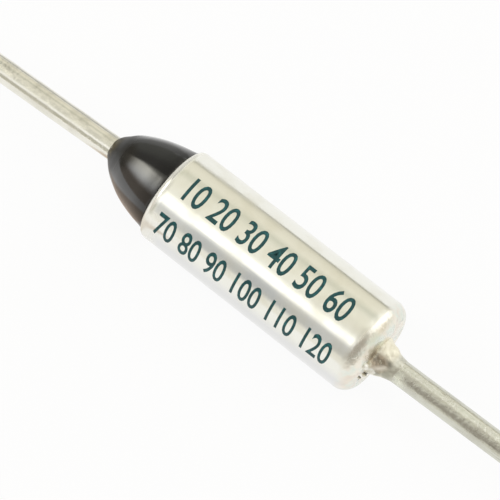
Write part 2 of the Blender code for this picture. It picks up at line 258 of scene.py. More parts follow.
def join_caps(piece):
    """Opens the two end caps and bridges them, which makes a ring of the piece."""
    edit(piece, "FACE", is_round)
    bpy.ops.mesh.delete(type="ONLY_FACE")
    bpy.ops.mesh.select_mode(type="EDGE")
    bpy.ops.mesh.select_all(action="DESELECT")
    bpy.ops.mesh.select_non_manifold()
    bpy.ops.mesh.bridge_edge_loops()
    leave_edit()


def tidy_surface(piece):
    edit(piece, "FACE", everything)
    bpy.ops.mesh.remove_doubles(threshold=1e-5)
    bpy.ops.mesh.normals_make_consistent(inside=False)
    leave_edit()


def apply_modifier(piece, kind, **settings):
    make_active(piece)
    modifier = piece.modifiers.new(kind.lower(), kind)
    for key, value in settings.items():
        setattr(modifier, key, value)
    bpy.ops.object.modifier_apply(modifier=modifier.name)


def weigh(piece, name, weight):
    """A vertex group whose weight comes from each vertex's place."""
    group = piece.vertex_groups.new(name=name)
    for vertex in piece.data.vertices:
        amount = weight(vertex.co)
        if amount > 0:
            group.add([vertex.index], amount, "REPLACE")
    return group.name


def roughen(piece, name, size, strength, depth=2, group=""):
    """Pushes the surface in and out by soft lumps of about the given size."""
    lumps = bpy.data.textures.new(name, "CLOUDS")
    lumps.noise_scale = size
    lumps.noise_depth = depth
    apply_modifier(
        piece, "DISPLACE", texture=lumps, strength=strength, mid_level=0.5,
        texture_coords="LOCAL", vertex_group=group,
    )


def bend_wire(piece, start_x, towards, droop, swing):
    """Bends what lies past start_x, going towards -1 or +1, so that it droops and
    swings to the side that the sign of swing gives."""
    angle = math.hypot(droop, swing)
    arc = WIRE_BEND_RADIUS * angle
    side = Vector((0, swing, -droop)).normalized()
    for vertex in piece.data.vertices:
        past = towards * (vertex.co.x - start_x)
        if past <= 0:
            continue
        turn = min(past, arc) / WIRE_BEND_RADIUS
        straight = max(past - arc, 0)
        across = vertex.co.dot(side)
        along = WIRE_BEND_RADIUS * math.sin(turn) + straight * math.cos(turn)
        aside = WIRE_BEND_RADIUS * (1 - math.cos(turn)) + straight * math.sin(turn)
        vertex.co += side * (aside + across * math.cos(turn) - across)
        vertex.co.x = start_x + towards * (along - across * math.sin(turn))


def axis_start():
    """Where the fuse's axis meets the open rim, in the frame's metres."""
    low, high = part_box("case")
    return Vector((low.x, (low.y + high.y) / 2, (low.z + high.z) / 2))


def put_down(piece, smooth_angle=35):
    """Takes a finished piece from its millimetres to its place in the frame."""
    make_active(piece)
    bpy.ops.object.shade_smooth_by_angle(angle=math.radians(smooth_angle))
    piece.scale = (MM, MM, MM)
    piece.location = axis_start()
    bpy.ops.object.transform_apply(location=True, rotation=True, scale=True)
    deselect_all()


# The pieces


def make_can():
    """A bar with both ends rounded and opened, its skin made uneven and given a wall."""
    can = round_bar("can", 0, CAN_LENGTH, CAN_RADIUS, CAN_SIDES)
    edit(can, "EDGE", lambda a, b: min(a.x, b.x) > CAN_LENGTH - TOUCHING)
    bpy.ops.mesh.bevel(
        offset=CAN_CORNER, segments=CORNER_STEPS, profile=0.5, affect="EDGES")
    leave_edit()
    edit(can, "EDGE", lambda a, b: max(a.x, b.x) < TOUCHING)
    bpy.ops.mesh.bevel(
        offset=CRIMP_CORNER, segments=CRIMP_STEPS, profile=0.5, affect="EDGES")
    leave_edit()
    edit(can, "EDGE", lambda a, b: abs(a.x - b.x) > CAN_LENGTH / 2)
    bpy.ops.mesh.subdivide(number_cuts=CAN_RINGS)
    leave_edit()
    face_radius = CAN_RADIUS - CAN_CORNER
    edit(can, "FACE", end_cap(1))
    for _ in range(END_FACE_RINGS):
        bpy.ops.mesh.inset(thickness=(face_radius - LEAD_HOLE) / END_FACE_RINGS)
    bpy.ops.mesh.delete(type="FACE")
    leave_edit()
    edit(can, "FACE", end_cap(-1))
    bpy.ops.mesh.inset(thickness=CAN_RADIUS - CRIMP_CORNER - CRIMP_BORE)
    bpy.ops.mesh.delete(type="FACE")
    leave_edit()
    tidy_surface(can)
    roughen(can, "can_waves", 2.2, 0.006)
    end = weigh(can, "closed_end", lambda co: clamped((co.x - CAN_LENGTH + 0.8) / 0.7))
    roughen(can, "end_dents", 0.5, 0.045, depth=3, group=end)
    apply_modifier(can, "SOLIDIFY", thickness=CAN_WALL, offset=-1, use_even_offset=True)
    put_down(can)
    return can


def nose_radius(share):
    """Radius of the resin at a share of its length from the tip."""
    bulge = (1 - (1 - share) ** 2.1) ** 0.78
    full = NOSE_TIP_RADIUS + (NOSE_SHOULDER_RADIUS - NOSE_TIP_RADIUS) * bulge
    return full + NOSE_FLARE * share ** 5


def make_resin_nose():
    """A bar drawn out over the nose and back through its bore, and into the rim."""
    foot_x = NOSE_TIP_X + NOSE_LENGTH
    start_share = 0.985
    start_x = NOSE_TIP_X + NOSE_LENGTH * start_share
    nose = round_bar("resin_nose", start_x, foot_x, nose_radius(1), NOSE_SIDES)
    outside = []
    for step in range(NOSE_STEPS):
        share = start_share * (1 - (step + 1) / NOSE_STEPS) ** 1.5
        outside.append((NOSE_TIP_X + NOSE_LENGTH * share, nose_radius(share)))
    lip_x = NOSE_TIP_X - NOSE_LIP
    lip = [(lip_x, NOSE_LIP_RADIUS), (lip_x, NOSE_BORE)]
    bore = [(tenths / 10, NOSE_BORE) for tenths in range(-27, 9, 3)]
    turn_on(nose, -1, outside + lip + bore)
    turn_on(nose, 1, PLUG_PROFILE)
    join_caps(nose)
    tidy_surface(nose)
    skin = weigh(nose, "skin", lambda co: 1.0 if co.x < -0.05 else 0.0)
    roughen(nose, "resin_flow", 1.6, 0.02, depth=1, group=skin)
    tip = weigh(nose, "tip", lambda co: clamped((NOSE_TIP_X + 0.28 - co.x) / 0.35))
    roughen(nose, "tip_lumps", 0.35, 0.05, group=tip)
    # On top of the wire the resin's tip creeps a little further along it.
    edit(nose, "VERT", lambda co: co.x < NOSE_TIP_X + 0.04 and co.z > 0.38)
    bpy.ops.transform.translate(
        value=(-0.09, 0, 0), use_proportional_edit=True,
        proportional_edit_falloff="SMOOTH", proportional_size=0.4)
    leave_edit()
    bend_wire(nose, ISOLATED_BEND_X, -1, ISOLATED_DROOP, ISOLATED_SWING)
    put_down(nose, 50)
    return nose


def wire_profile(first_x, last_x, towards):
    """Rings along a wire, closer where it bends, and its pinched cut end."""
    rings = []
    for step in range(1, WIRE_RINGS):
        share = (step / WIRE_RINGS) ** WIRE_RING_SPREAD
        rings.append((first_x + (last_x - first_x) * share, WIRE_RADIUS))
    for short, thinner in WIRE_CUT_END:
        rings.append((last_x - towards * short, WIRE_RADIUS - thinner))
    return rings


def draw_wire(name, head, towards, last_x):
    """A straight wire drawn out of its head, towards -1 or +1 along X."""
    wire = round_bar(name, *head, WIRE_SIDES)
    head_x = head[0] if towards < 0 else head[1]
    neck = (head_x + towards * HEAD_NECK, WIRE_RADIUS)
    start_x = head_x + towards * 2 * HEAD_NECK
    turn_on(wire, towards, [neck] + wire_profile(start_x, last_x, towards))
    tidy_surface(wire)
    return wire


def bend_case_side(piece):
    """Bends a piece down with the case wire and sets it a little off the axis."""
    bend_wire(piece, CASE_BEND_X, 1, CASE_DROOP, CASE_SWING)
    edit(piece, "FACE", everything)
    bpy.ops.transform.translate(value=(0, -CASE_WIRE_OFFSET, 0))
    leave_edit()


def make_isolated_wire():
    wire = draw_wire("isolated_wire", CONTACT_HEAD, -1, ISOLATED_END_X)
    roughen(wire, "drawn_wire_a", 3.0, 0.008, depth=1)
    bend_wire(wire, ISOLATED_BEND_X, -1, ISOLATED_DROOP, ISOLATED_SWING)
    put_down(wire, 40)
    return wire


def make_case_wire():
    wire = draw_wire("case_wire", RIVET_HEAD, 1, CASE_END_X)
    roughen(wire, "drawn_wire_b", 3.0, 0.010, depth=1)
    bend_case_side(wire)
    put_down(wire, 40)
    return wire


def add_blob(place, radius, stretch):
    height, y, z = place
    deselect_all()
    bpy.ops.mesh.primitive_ico_sphere_add(
        subdivisions=4, radius=radius, location=(WELD_X + height, y, z))
    blob = bpy.context.object
    blob.scale = stretch
    bpy.ops.object.transform_apply(location=True, rotation=True, scale=True)
    return blob


def join_blobs(piece, rows):
    blobs = [add_blob(*row) for row in rows]
    make_active(piece)
    for blob in blobs:
        blob.select_set(True)
    bpy.ops.object.join()
    apply_modifier(piece, "REMESH", mode="VOXEL", voxel_size=WELD_VOXEL)


def make_weld():
    """A cone of solder up the wire, with a dome behind, a crater in front and beads."""
    weld = round_bar("weld_lump", *WELD_ROOT, WELD_SIDES)
    turn_on(weld, 1, [(WELD_X + height, radius) for height, radius in WELD_FLANK])
    join_blobs(weld, WELD_LUMPS)
    crater = add_blob(*WELD_CRATER)
    apply_modifier(
        weld, "BOOLEAN", operation="DIFFERENCE", solver="EXACT", object=crater)
    bpy.data.objects.remove(crater)
    apply_modifier(weld, "REMESH", mode="VOXEL", voxel_size=WELD_VOXEL)
    apply_modifier(weld, "SMOOTH", factor=0.5, iterations=9)
    join_blobs(weld, WELD_BEADS)
    apply_modifier(weld, "SMOOTH", factor=0.5, iterations=1)
    roughen(weld, "weld_grain", 0.35, 0.022, depth=0)
    tidy_surface(weld)
    bend_case_side(weld)
    put_down(weld, 180)
    return weld


def make_print_row(name, words, first_x, last_x, baseline, height):
    """Plain numbers, cut in narrow strips and wrapped round the can."""
    deselect_all()
    bpy.ops.object.text_add()
    row = bpy.context.object
    row.name = name
    row.data.body = words
    row.data.resolution_u = 4
    row.data.offset = INK_SPREAD
    bpy.ops.object.convert(target="MESH")
    row = bpy.context.object
    corners = [v.co.copy() for v in row.data.vertices]
    low = [min(co[axis] for co in corners) for axis in range(2)]
    high = [max(co[axis] for co in corners) for axis in range(2)]
    tall = CAN_RADIUS * math.radians(height)
    scale_x = (last_x - first_x) / (high[0] - low[0])
    scale_y = tall / (high[1] - low[1])
    row.scale = (scale_x, scale_y, 1)
    row.location = (first_x - low[0] * scale_x, -low[1] * scale_y, 0)
    bpy.ops.object.transform_apply(location=True, rotation=True, scale=True)
    for cut in range(1, int(tall / INK_STRIP) + 1):
        edit(row, "FACE", everything)
        bpy.ops.mesh.bisect(plane_co=(0, cut * INK_STRIP, 0), plane_no=(0, 1, 0))
        leave_edit()
    tidy_surface(row)
    for vertex in row.data.vertices:
        turn = math.radians(baseline) - vertex.co.y / CAN_RADIUS
        radius = CAN_RADIUS + INK_LIFT
        vertex.co.y = -radius * math.sin(turn)
        vertex.co.z = radius * math.cos(turn)
    apply_modifier(row, "SOLIDIFY", thickness=INK_THICKNESS, offset=1)
    put_down(row, 40)
    return row


# Materials


def feed(tree, socket, value):
    """Links another node's output to the socket, or sets the socket to a value."""
    if hasattr(value, "is_output"):
        tree.links.new(value, socket)
    else:
        socket.default_value = value


def node(tree, kind, inputs=None, **settings):
    made = tree.nodes.new(kind)
    for key, value in settings.items():
        setattr(made, key, value)
    for key, value in (inputs or {}).items():
        feed(tree, made.inputs[key], value)
    return made


def mix_colours(tree, mask, first, second):
    """The first colour where the mask is 0 and the second where it is 1. Each may be
    another node's output or three numbers."""
    mixer = node(tree, "ShaderNodeMix", {0: mask}, data_type="RGBA")
    for socket, colour in ((6, first), (7, second)):
        solid = isinstance(colour, tuple)
        feed(tree, mixer.inputs[socket], (*colour, 1) if solid else colour)
    return mixer.outputs[2]


def new_group(name, inputs, outputs):
    """An empty node group with float, vector or colour sockets."""
    group = bpy.data.node_groups.new(name, "ShaderNodeTree")
    kinds = {"f": "NodeSocketFloat", "v": "NodeSocketVector", "c": "NodeSocketColor"}
    for label, kind in inputs:
        group.interface.new_socket(label, in_out="INPUT", socket_type=kinds[kind])
    for label, kind in outputs:
        group.interface.new_socket(label, in_out="OUTPUT", socket_type=kinds[kind])
    entry = group.nodes.new("NodeGroupInput")
    leave = group.nodes.new("NodeGroupOutput")
    return group, entry, leave


def make_scratch_group():
    """Long thin marks in one direction: the narrow crossings of a stretched noise."""
    sockets = [("Vector", "v"), ("Turn", "v"), ("Stretch", "v")]
    sockets += [("Density", "f"), ("Width", "f")]
    group, entry, leave = new_group("handling_scratches", sockets, [("Mask", "f")])
    turned = node(group, "ShaderNodeMapping", {
        "Vector": entry.outputs["Vector"], "Rotation": entry.outputs["Turn"],
        "Scale": entry.outputs["Stretch"]})
    noise = node(group, "ShaderNodeTexNoise", {
        "Vector": turned.outputs["Vector"], "Scale": entry.outputs["Density"],
        "Detail": 2.0, "Roughness": 0.6})
    centred = node(group, "ShaderNodeMath", {
        0: noise.outputs["Fac"], 1: 0.5}, operation="SUBTRACT")
    away = node(group, "ShaderNodeMath", {0: centred.outputs[0]}, operation="ABSOLUTE")
    line = node(group, "ShaderNodeMapRange", {
        "Value": away.outputs[0], "From Min": 0.0, "From Max": entry.outputs["Width"],
        "To Min": 1.0, "To Max": 0.0})
    patches = node(group, "ShaderNodeTexNoise", {
        "Vector": entry.outputs["Vector"], "Scale": 1.3, "Detail": 1.0})
    some = node(group, "ShaderNodeMapRange", {
        "Value": patches.outputs["Fac"], "From Min": 0.45, "From Max": 0.62})
    both = node(group, "ShaderNodeMath", {
        0: line.outputs["Result"], 1: some.outputs["Result"]}, operation="MULTIPLY")
    feed(group, leave.inputs["Mask"], both.outputs[0])
    return group


def make_cloud_group():
    """Soft patches between 0 and 1, for tarnish, smears and uneven colour."""
    group, entry, leave = new_group(
        "soft_patches",
        [("Vector", "v"), ("Size", "f"), ("Detail", "f"), ("Low", "f"), ("High", "f")],
        [("Mask", "f")],
    )
    noise = node(group, "ShaderNodeTexNoise", {
        "Vector": entry.outputs["Vector"], "Scale": entry.outputs["Size"],
        "Detail": entry.outputs["Detail"], "Roughness": 0.55})
    mask = node(group, "ShaderNodeMapRange", {
        "Value": noise.outputs["Fac"], "From Min": entry.outputs["Low"],
        "From Max": entry.outputs["High"]}, interpolation_type="SMOOTHSTEP")
    feed(group, leave.inputs["Mask"], mask.outputs["Result"])
    return group


def make_drawn_group():
    """Fine lines along X, as a die leaves them on drawn wire and drawn cans."""
    group, entry, leave = new_group(
        "drawn_lines",
        [("Vector", "v"), ("Along", "f"), ("Across", "f")],
        [("Height", "f")],
    )
    stretch = node(group, "ShaderNodeCombineXYZ", {
        "X": entry.outputs["Along"], "Y": entry.outputs["Across"],
        "Z": entry.outputs["Across"]})
    scaled = node(group, "ShaderNodeVectorMath", {
        0: entry.outputs["Vector"], 1: stretch.outputs[0]}, operation="MULTIPLY")
    noise = node(group, "ShaderNodeTexNoise", {
        "Vector": scaled.outputs[0], "Scale": 1.0, "Detail": 3.0, "Roughness": 0.6})
    feed(group, leave.inputs["Height"], noise.outputs["Fac"])
    return group


SCRATCHES = make_scratch_group()
PATCHES = make_cloud_group()
DRAWN = make_drawn_group()


class Finish:
    """One material, with its Principled shader and millimetre coordinates. The plain
    colour and roughness hold until a texture drives them."""

    def __init__(self, name, colour, metallic, roughness):
        self.material = bpy.data.materials.new(name)
        self.material.use_nodes = True
        self.tree = self.material.node_tree
        self.shader = self.tree.nodes["Principled BSDF"]
        self.shader.inputs["Base Color"].default_value = (*colour, 1)
        self.shader.inputs["Metallic"].default_value = metallic
        self.shader.inputs["Roughness"].default_value = roughness
        place = node(self.tree, "ShaderNodeTexCoord")
        millimetres = node(self.tree, "ShaderNodeMapping", {
            "Vector": place.outputs["Object"], "Scale": (1000, 1000, 1000)})
        self.vector = millimetres.outputs["Vector"]

    def add(self, kind, inputs=None, **settings):
        return node(self.tree, kind, inputs, **settings)

    def group(self, group, **inputs):
        inputs["Vector"] = self.vector
        return self.add("ShaderNodeGroup", inputs, node_tree=group).outputs[0]

    def patches(self, size, low, high, detail=3.0):
        return self.group(PATCHES, Size=size, Detail=detail, Low=low, High=high)

    def scratches(self, turn, stretch, density, width):
        return self.group(
            SCRATCHES, Turn=turn, Stretch=stretch, Density=density, Width=width)

    def mix(self, mask, first, second):
        return mix_colours(self.tree, mask, first, second)

    def math(self, operation, first, second=0.0):
        inputs = {0: first, 1: second}
        return self.add("ShaderNodeMath", inputs, operation=operation).outputs[0]

    def near(self, point, inner, outer):
        """1 within the inner distance of a point on the fuse's own axis frame, in
        millimetres, and 0 past the outer one."""
        place = Vector(point) + axis_start() / MM
        gap = self.add("ShaderNodeVectorMath", {
            0: self.vector, 1: tuple(place)}, operation="DISTANCE")
        return self.ramp(gap.outputs["Value"], outer, inner)

    def skin(self):
        """The can's skin laid flat, in millimetres: X along it and Y round it, from
        straight up towards the front."""
        local = self.add("ShaderNodeVectorMath", {
            0: self.vector, 1: tuple(axis_start() / MM)}, operation="SUBTRACT")
        parts = self.add("ShaderNodeSeparateXYZ", {"Vector": local.outputs[0]})
        front = self.math("MULTIPLY", parts.outputs["Y"], -1.0)
        turn = self.math("ARCTAN2", front, parts.outputs["Z"])
        around = self.math("MULTIPLY", turn, CAN_RADIUS)
        return self.add("ShaderNodeCombineXYZ", {
            "X": parts.outputs["X"], "Y": around}).outputs[0]

    def stroke(self, skin, start, end, width):
        """1 on a straight line drawn on the skin and 0 from its half width outwards."""
        first = Vector((*start, 0))
        run = Vector((*end, 0)) - first
        away = self.add("ShaderNodeVectorMath", {
            0: skin, 1: tuple(first)}, operation="SUBTRACT").outputs[0]
        share = self.add("ShaderNodeVectorMath", {
            0: away, 1: tuple(run / run.length_squared)}, operation="DOT_PRODUCT")
        along = self.add("ShaderNodeMath", {
            0: share.outputs["Value"], 1: 1.0}, operation="MULTIPLY", use_clamp=True)
        foot = self.add("ShaderNodeVectorMath", {
            0: tuple(run), "Scale": along.outputs[0]}, operation="SCALE").outputs[0]
        gap = self.add("ShaderNodeVectorMath", {0: away, 1: foot}, operation="DISTANCE")
        return self.ramp(gap.outputs["Value"], width, 0.0)

    def ramp(self, value, low, high, to_low=0.0, to_high=1.0):
        return self.add("ShaderNodeMapRange", {
            "Value": value, "From Min": low, "From Max": high,
            "To Min": to_low, "To Max": to_high}).outputs["Result"]

    def drive(self, socket, value):
        feed(self.tree, self.shader.inputs[socket], value)

    def relief(self, height, strength, distance, under=None):
        """Drives the shader's normal. A relief may lie on the one that came before."""
        inputs = {"Height": height, "Strength": strength, "Distance": distance}
        if under is not None:
            inputs["Normal"] = under
        normal = self.add("ShaderNodeBump", inputs).outputs["Normal"]
        self.drive("Normal", normal)
        return normal


def give(piece, finish):
    piece.data.materials.clear()
    piece.data.materials.append(finish.material)


def silvered_can_finish():
    finish = Finish("silvered_can", (0.88, 0.875, 0.81), 1.0, 0.2)
    skin = finish.skin()
    parts = finish.add("ShaderNodeSeparateXYZ", {"Vector": skin})
    near_end = finish.ramp(parts.outputs["X"], CAN_LENGTH - 0.65, CAN_LENGTH - 0.2)
    smears = finish.patches(0.9, 0.42, 0.75)
    smears_and_shade = finish.mix(smears, (0.885, 0.88, 0.81), (0.83, 0.815, 0.72))
    cream = finish.mix(
        finish.patches(1.7, 0.40, 0.60, 4.0), (0.91, 0.86, 0.75), (0.80, 0.84, 0.76))
    brown = finish.patches(1.9, 0.46, 0.68, 5.0)
    stained = finish.mix(brown, cream, (0.84, 0.765, 0.66))
    # Painted shade: the can turns greyer and darker along its lower front side, towards
    # the floor.
    shaded_underside = finish.ramp(parts.outputs["Y"], 2.2, 2.7)
    smears_and_shade = finish.mix(shaded_underside, smears_and_shade, (0.78, 0.78, 0.77))
    tarnish_and_shade = finish.mix(near_end, smears_and_shade, stained)
    beside_weld = finish.math(
        "MULTIPLY", finish.near((CAN_LENGTH, -0.50, 1.30), 0.14, 0.52),
        finish.patches(5.0, 0.28, 0.50))
    tarnish_and_shade = finish.mix(beside_weld, tarnish_and_shade, (0.60, 0.54, 0.43))
    # Near-black spots on the closed end, at and just below two small beads of the weld.
    bead_dark_spots = finish.math(
        "MAXIMUM",
        finish.near((CAN_LENGTH, -0.86, -0.22), 0.10, 0.18),
        finish.near((CAN_LENGTH, -1.23, 0.03), 0.06, 0.13),
    )
    # Painted highlight: by the rim and round its front the can is painted near-white and
    # made less metallic.
    near_rim = finish.ramp(parts.outputs["X"], 0.32, 0.14)
    beside_rim = finish.math(
        "MULTIPLY", finish.ramp(parts.outputs["X"], 1.0, 0.4),
        finish.ramp(parts.outputs["Y"], 1.3, 1.9, 0.0, 0.9))
    painted_rim_highlight = finish.math("MAXIMUM", near_rim, beside_rim)
    rim_highlighted = finish.mix(painted_rim_highlight, tarnish_and_shade, (0.97, 0.965, 0.91))
    finish.drive("Base Color", finish.mix(bead_dark_spots, rim_highlighted, (0.08, 0.07, 0.06)))
    rough = finish.ramp(smears, 0.0, 1.0, 0.12, 0.19)
    near_bend = finish.ramp(parts.outputs["X"], CAN_LENGTH - 0.75, CAN_LENGTH - 0.52)
    worn = finish.math("MULTIPLY", finish.math("MAXIMUM", near_bend, near_rim), 0.12)
    # Less metallic where the rim highlight is painted.
    finish.drive("Metallic", finish.ramp(painted_rim_highlight, 0, 1, 1.0, 0.3))
    finish.drive("Roughness", finish.math("ADD", rough, worn))
    lines = finish.group(DRAWN, Along=0.15, Across=9.0)
    drawn = finish.relief(lines, 0.08, 0.00002)
    long_marks = finish.scratches((0, 0, 0.5), (1, 9, 9), 1.1, 0.006)
    cross_marks = finish.scratches((0, 0, -0.9), (1, 11, 11), 0.9, 0.005)
    marks = finish.math("MAXIMUM", long_marks, cross_marks)
    for start, end in CAN_SCRATCHES:
        marks = finish.math("MAXIMUM", marks, finish.stroke(
            skin, start, end, SCRATCH_HALF_WIDTH))
    marked = finish.relief(marks, -0.3, 0.00001, drawn)
    pits = finish.math("MULTIPLY", near_end, finish.patches(3.6, 0.35, 0.65, 5.0))
    finish.relief(pits, 0.5, 0.00003, marked)
    return finish


def black_resin_finish():
    finish = Finish("black_resin", (0.009, 0.009, 0.008), 0.0, 0.12)
    parts = finish.add("ShaderNodeSeparateXYZ", {"Vector": finish.skin()})
    near_tip = finish.ramp(parts.outputs["X"], NOSE_TIP_X + 0.22, NOSE_TIP_X)
    broken = finish.math("MULTIPLY", near_tip, finish.patches(5.0, 0.30, 0.60))
    # Warmer towards the front and the left, and lighter brown along the underside towards
    # the left.
    front = finish.ramp(parts.outputs["Y"], 1.0, 2.8)
    leftward = finish.ramp(parts.outputs["X"], -0.6, -2.0, 0.7, 1.0)
    uneven = finish.ramp(finish.patches(2.2, 0.3, 0.7), 0, 1, 0.5, 1)
    front_left_warmth = finish.math("MULTIPLY", front, finish.math("MULTIPLY", leftward, uneven))
    under = finish.math(
        "MULTIPLY", finish.ramp(parts.outputs["Y"], 2.1, 2.9), leftward)
    dusky = finish.mix(front_left_warmth, (0.012, 0.012, 0.0105), (0.028, 0.024, 0.021))
    dusky = finish.mix(under, dusky, (0.085, 0.066, 0.052))
    finish.drive("Base Color", finish.mix(broken, dusky, (0.075, 0.06, 0.025)))
    gloss = finish.ramp(finish.patches(2.0, 0.3, 0.7), 0.0, 1.0, 0.09, 0.14)
    dull = finish.math("MULTIPLY", finish.ramp(
        parts.outputs["X"], NOSE_TIP_X + 0.85, NOSE_TIP_X + 0.45), 0.28)
    finish.drive("Roughness", finish.math("ADD", gloss, dull))
    by_can = finish.ramp(parts.outputs["X"], -0.80, -0.20)
    by_tip = finish.ramp(parts.outputs["X"], NOSE_TIP_X + 0.90, NOSE_TIP_X + 0.40)
    worn = finish.math("MAXIMUM", by_tip, by_can)
    finish.drive("Coat Weight", finish.ramp(worn, 0, 1, 1.0, 0.05))
    finish.relief(finish.patches(6.0, 0.2, 0.8), 0.03, 0.00003)
    finish.drive("IOR", 1.6)
    finish.drive("Coat Roughness", 0.10)
    return finish


def wire_finish(name, pale, dull, dark, dark_low, rough, uneven, splash=None):
    """Drawn and tinned wire, with dark streaks along it. Splash is the middle of a pale
    patch that the solder left on it."""
    finish = Finish(name, pale, 1.0, rough)
    grime = finish.patches(1.1, 0.40, 0.70, 5.0)
    lines = finish.group(DRAWN, Along=0.35, Across=14.0)
    streaks = finish.ramp(lines, dark_low, dark_low + 0.10)
    worn = finish.mix(grime, pale, dull)
    streaked = finish.mix(finish.math("MULTIPLY", streaks, 0.7), worn, dark)
    if splash:
        solder = finish.math(
            "MULTIPLY", finish.near(splash, 0.18, 0.42),
            finish.patches(5.0, 0.30, 0.52))
        streaked = finish.mix(solder, streaked, (0.86, 0.88, 0.77))
        finish.drive("Metallic", finish.ramp(solder, 0, 1, 1.0, 0.25))
    finish.drive("Base Color", streaked)
    finish.drive("Roughness", finish.ramp(grime, 0.0, 1.0, rough - 0.04, rough + 0.10))
    drawn = finish.relief(lines, uneven, 0.00003)
    nicks = finish.scratches((0, 0, 1.2), (1, 5, 5), 2.2, 0.012)
    nicked = finish.relief(nicks, -0.05, 0.00002, drawn)
    finish.relief(finish.patches(4.5, 0.3, 0.7, 2.0), uneven, 0.00004, nicked)
    return finish


def weld_finish():
    finish = Finish("weld_metal", (0.84, 0.81, 0.70), 0.3, 0.34)
    pale = finish.mix(
        finish.patches(2.2, 0.4, 0.65), (1.0, 0.96, 0.80), (0.92, 0.88, 0.74))
    tip = finish.near((WELD_X + 0.95, -0.06, 0.0), 0.55, 0.72)
    tint = finish.mix(tip, pale, (0.65, 0.64, 0.55))
    crater = finish.near((WELD_X + 0.27, -0.44, 0.52), 0.24, 0.46)
    ragged = finish.math("MULTIPLY", crater, finish.patches(4.0, 0.22, 0.44))
    # Dark brown in the crater: burnt metal, with painted shade in the hollow.
    burnt_and_shaded = finish.mix(
        finish.patches(4.0, 0.38, 0.6), (0.28, 0.235, 0.18), (0.60, 0.52, 0.41))
    under = finish.math(
        "MAXIMUM",
        finish.near((WELD_X + 0.68, -0.50, 0.22), 0.14, 0.36),
        finish.near((WELD_X + 0.34, -0.66, 0.20), 0.16, 0.36))
    tint = finish.mix(under, tint, (0.47, 0.46, 0.38))
    # Painted shade: dark at the crater's far end.
    shaded_crater_end = finish.near((WELD_X + 0.58, -0.26, 0.55), 0.07, 0.20)
    tint = finish.mix(shaded_crater_end, tint, (0.30, 0.295, 0.245))
    streak = finish.stroke(
        finish.skin(), (WELD_X + 0.20, 2.36), (WELD_X + 0.58, 1.34), 0.23)
    lipped = finish.mix(streak, burnt_and_shaded, (0.88, 0.83, 0.74))
    soiled = finish.mix(ragged, tint, lipped)
    # Dark colour on two small beads of the weld.
    bead_dark_spots = finish.math(
        "MAXIMUM",
        finish.near((WELD_X + 0.03, -0.88, -0.10), 0.09, 0.13),
        finish.near((WELD_X + 0.03, -1.20, 0.30), 0.08, 0.12))
    soiled = finish.mix(bead_dark_spots, soiled, (0.16, 0.145, 0.12))
    # Painted highlights: two beads are painted near-white.
    beads = finish.math(
        "MAXIMUM",
        finish.near((WELD_X + 0.05, -0.93, 0.95), 0.13, 0.19),
        finish.near((WELD_X + 0.18, -0.79, 0.18), 0.16, 0.22))
    finish.drive("Base Color", finish.mix(beads, soiled, (1.0, 0.99, 0.93)))
    along = finish.add("ShaderNodeSeparateXYZ", {"Vector": finish.skin()}).outputs["X"]
    by_wire = finish.ramp(along, WELD_X + 0.60, WELD_X + 0.92)
    finish.drive("Metallic", finish.ramp(by_wire, 0, 1, 0.3, 0.9))
    finish.drive("Roughness", finish.ramp(ragged, 0.0, 1.0, 0.36, 0.46))
    finish.relief(finish.patches(4.5, 0.3, 0.7), 0.45, 0.00004)
    return finish


def ink_finish():
    finish = Finish("teal_ink", (0.0, 0.10, 0.13), 0.0, 0.45)
    thin = finish.patches(7.0, 0.48, 0.78)
    finish.drive("Base Color", finish.mix(thin, (0.0, 0.060, 0.066), (0.01, 0.16, 0.17)))
    finish.relief(finish.patches(14.0, 0.2, 0.8), 0.2, 0.00001)
    return finish


def ceramic_finish():
    finish = Finish("bushing_ceramic", (0.80, 0.77, 0.69), 0.0, 0.6)
    specks = finish.patches(9.0, 0.62, 0.68)
    finish.drive("Base Color", finish.mix(specks, (0.80, 0.77, 0.69), (0.55, 0.50, 0.42)))
    finish.relief(finish.patches(16.0, 0.2, 0.8), 0.35, 0.00003)
    return finish


def pellet_finish():
    finish = Finish("pellet_compound", (0.62, 0.20, 0.12), 0.0, 0.75)
    grains = finish.patches(6.0, 0.35, 0.65)
    finish.drive("Base Color", finish.mix(grains, (0.62, 0.20, 0.12), (0.75, 0.34, 0.24)))
    finish.relief(finish.patches(11.0, 0.2, 0.8), 0.5, 0.00005)
    return finish


def pressed_metal_finish(name, colour, dull, rough):
    finish = Finish(name, colour, 1.0, rough)
    worn = finish.patches(2.2, 0.4, 0.7)
    finish.drive("Base Color", finish.mix(worn, colour, dull))
    finish.drive("Roughness", finish.ramp(worn, 0.0, 1.0, rough - 0.05, rough + 0.1))
    finish.relief(finish.group(DRAWN, Along=3.0, Across=12.0), 0.2, 0.00002)
    return finish


# Studio


